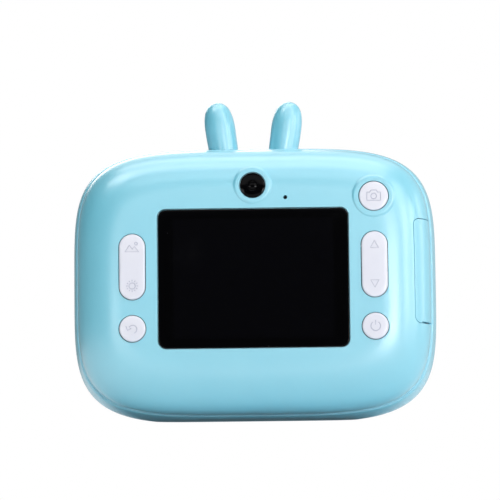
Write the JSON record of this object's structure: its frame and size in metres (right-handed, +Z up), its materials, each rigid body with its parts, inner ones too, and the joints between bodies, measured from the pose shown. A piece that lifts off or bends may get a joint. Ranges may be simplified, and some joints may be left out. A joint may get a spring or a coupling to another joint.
{
  "type": "kids digital camera",
  "caption": "Pillow-shaped toy camera with rabbit ears, rear screen, press keys, rocker keys, selfie lens and a hinged port door over its sockets.",
  "frame": {"origin": "on the standing surface, under the middle of the overall box", "axes": "+Z up to the ears; the screen faces -Y and the front lens faces +Y; +X is to the right for a person looking at the screen, where the port door is"},
  "size_m": [0.113, 0.0408, 0.1003],
  "materials": {
    "body_plastic": "satin",
    "ear_silicone": "satin",
    "key_plastic": "gloss",
    "dark_glass": "polished",
    "panel_glass": "gloss",
    "lens_glass": "polished",
    "flash_lens": "gloss",
    "circuit_board": "satin",
    "chip_black": "matte",
    "black_plastic": "satin",
    "flex_film": "satin",
    "steel": "satin",
    "tray_aluminium": "satin",
    "battery_wrap": "satin",
    "foam": "matte",
    "speaker_cloth": "matte",
    "plug_white": "satin",
    "wire_red": "satin",
    "wire_black": "satin"
  },
  "bodies": {
    "camera_body": {"battery": "battery_wrap", "battery_lead_black": "wire_black", "battery_lead_red": "wire_red", "battery_pad": "foam", "battery_plug": "plug_white", "board_screw_1": "steel", "board_screw_2": "steel", "board_screw_3": "steel", "board_screw_4": "steel", "card_socket": "steel", "case_screw_1": "steel", "case_screw_2": "steel", "case_screw_3": "steel", "case_screw_4": "steel", "ear_left": "ear_silicone", "ear_right": "ear_silicone", "flash_board": "circuit_board", "flash_window": "flash_lens", "front_bezel": "key_plastic", "front_camera_board": "circuit_board", "front_camera_flex": "flex_film", "front_lens_barrel": "black_plastic", "front_lens_element": "lens_glass", "front_lens_window": "dark_glass", "front_shell": "body_plastic", "lcd_flex": "flex_film", "lcd_frame": "tray_aluminium", "lcd_glass": "panel_glass", "left_key_board": "circuit_board", "main_board": "circuit_board", "memory_chip": "chip_black", "microphone": "steel", "processor": "chip_black", "rear_camera_flex": "flex_film", "rear_camera_module": "black_plastic", "rear_lens_window": "dark_glass", "rear_shell": "body_plastic", "right_key_board": "circuit_board", "screen_window": "dark_glass", "speaker": "steel", "speaker_mesh": "speaker_cloth", "tact_switch_back": "black_plastic", "tact_switch_down": "black_plastic", "tact_switch_mode": "black_plastic", "tact_switch_power": "black_plastic", "tact_switch_settings": "black_plastic", "tact_switch_shutter": "black_plastic", "tact_switch_up": "black_plastic", "usb_socket": "steel"},
    "port_door": {"port_door": "body_plastic", "hinge_pin": "steel"},
    "shutter_button": {"shutter_button": "key_plastic"},
    "power_button": {"power_button": "key_plastic"},
    "back_button": {"back_button": "key_plastic"},
    "up_down_rocker": {"up_down_rocker": "key_plastic"},
    "mode_rocker": {"mode_rocker": "key_plastic"}
  },
  "joints": [
    {"name": "shutter_press", "type": "slide", "parent": "camera_body", "child": "shutter_button", "axis": [0, 1, 0], "range_m": [0, 0.0005], "stiffness_N_per_m": 800, "springref_m": -0.0005},
    {"name": "power_press", "type": "slide", "parent": "camera_body", "child": "power_button", "axis": [0, 1, 0], "range_m": [0, 0.0005], "stiffness_N_per_m": 800, "springref_m": -0.0005},
    {"name": "back_press", "type": "slide", "parent": "camera_body", "child": "back_button", "axis": [0, 1, 0], "range_m": [0, 0.0005], "stiffness_N_per_m": 800, "springref_m": -0.0005},
    {"name": "up_down_rock", "type": "hinge", "parent": "camera_body", "child": "up_down_rocker", "pos_m": [0.037, -0.0162, 0.04575], "axis": [1, 0, 0], "range_deg": [-3, 3], "stiffness_Nm_per_rad": 0.25},
    {"name": "mode_rock", "type": "hinge", "parent": "camera_body", "child": "mode_rocker", "pos_m": [-0.037, -0.0162, 0.04575], "axis": [1, 0, 0], "range_deg": [-3, 3], "stiffness_Nm_per_rad": 0.25},
    {"name": "port_door_swing", "type": "hinge", "parent": "camera_body", "child": "port_door", "pos_m": [0.05295, -0.0084, 0.044], "axis": [0, 0, 1], "range_deg": [0, 95]}
  ]
}
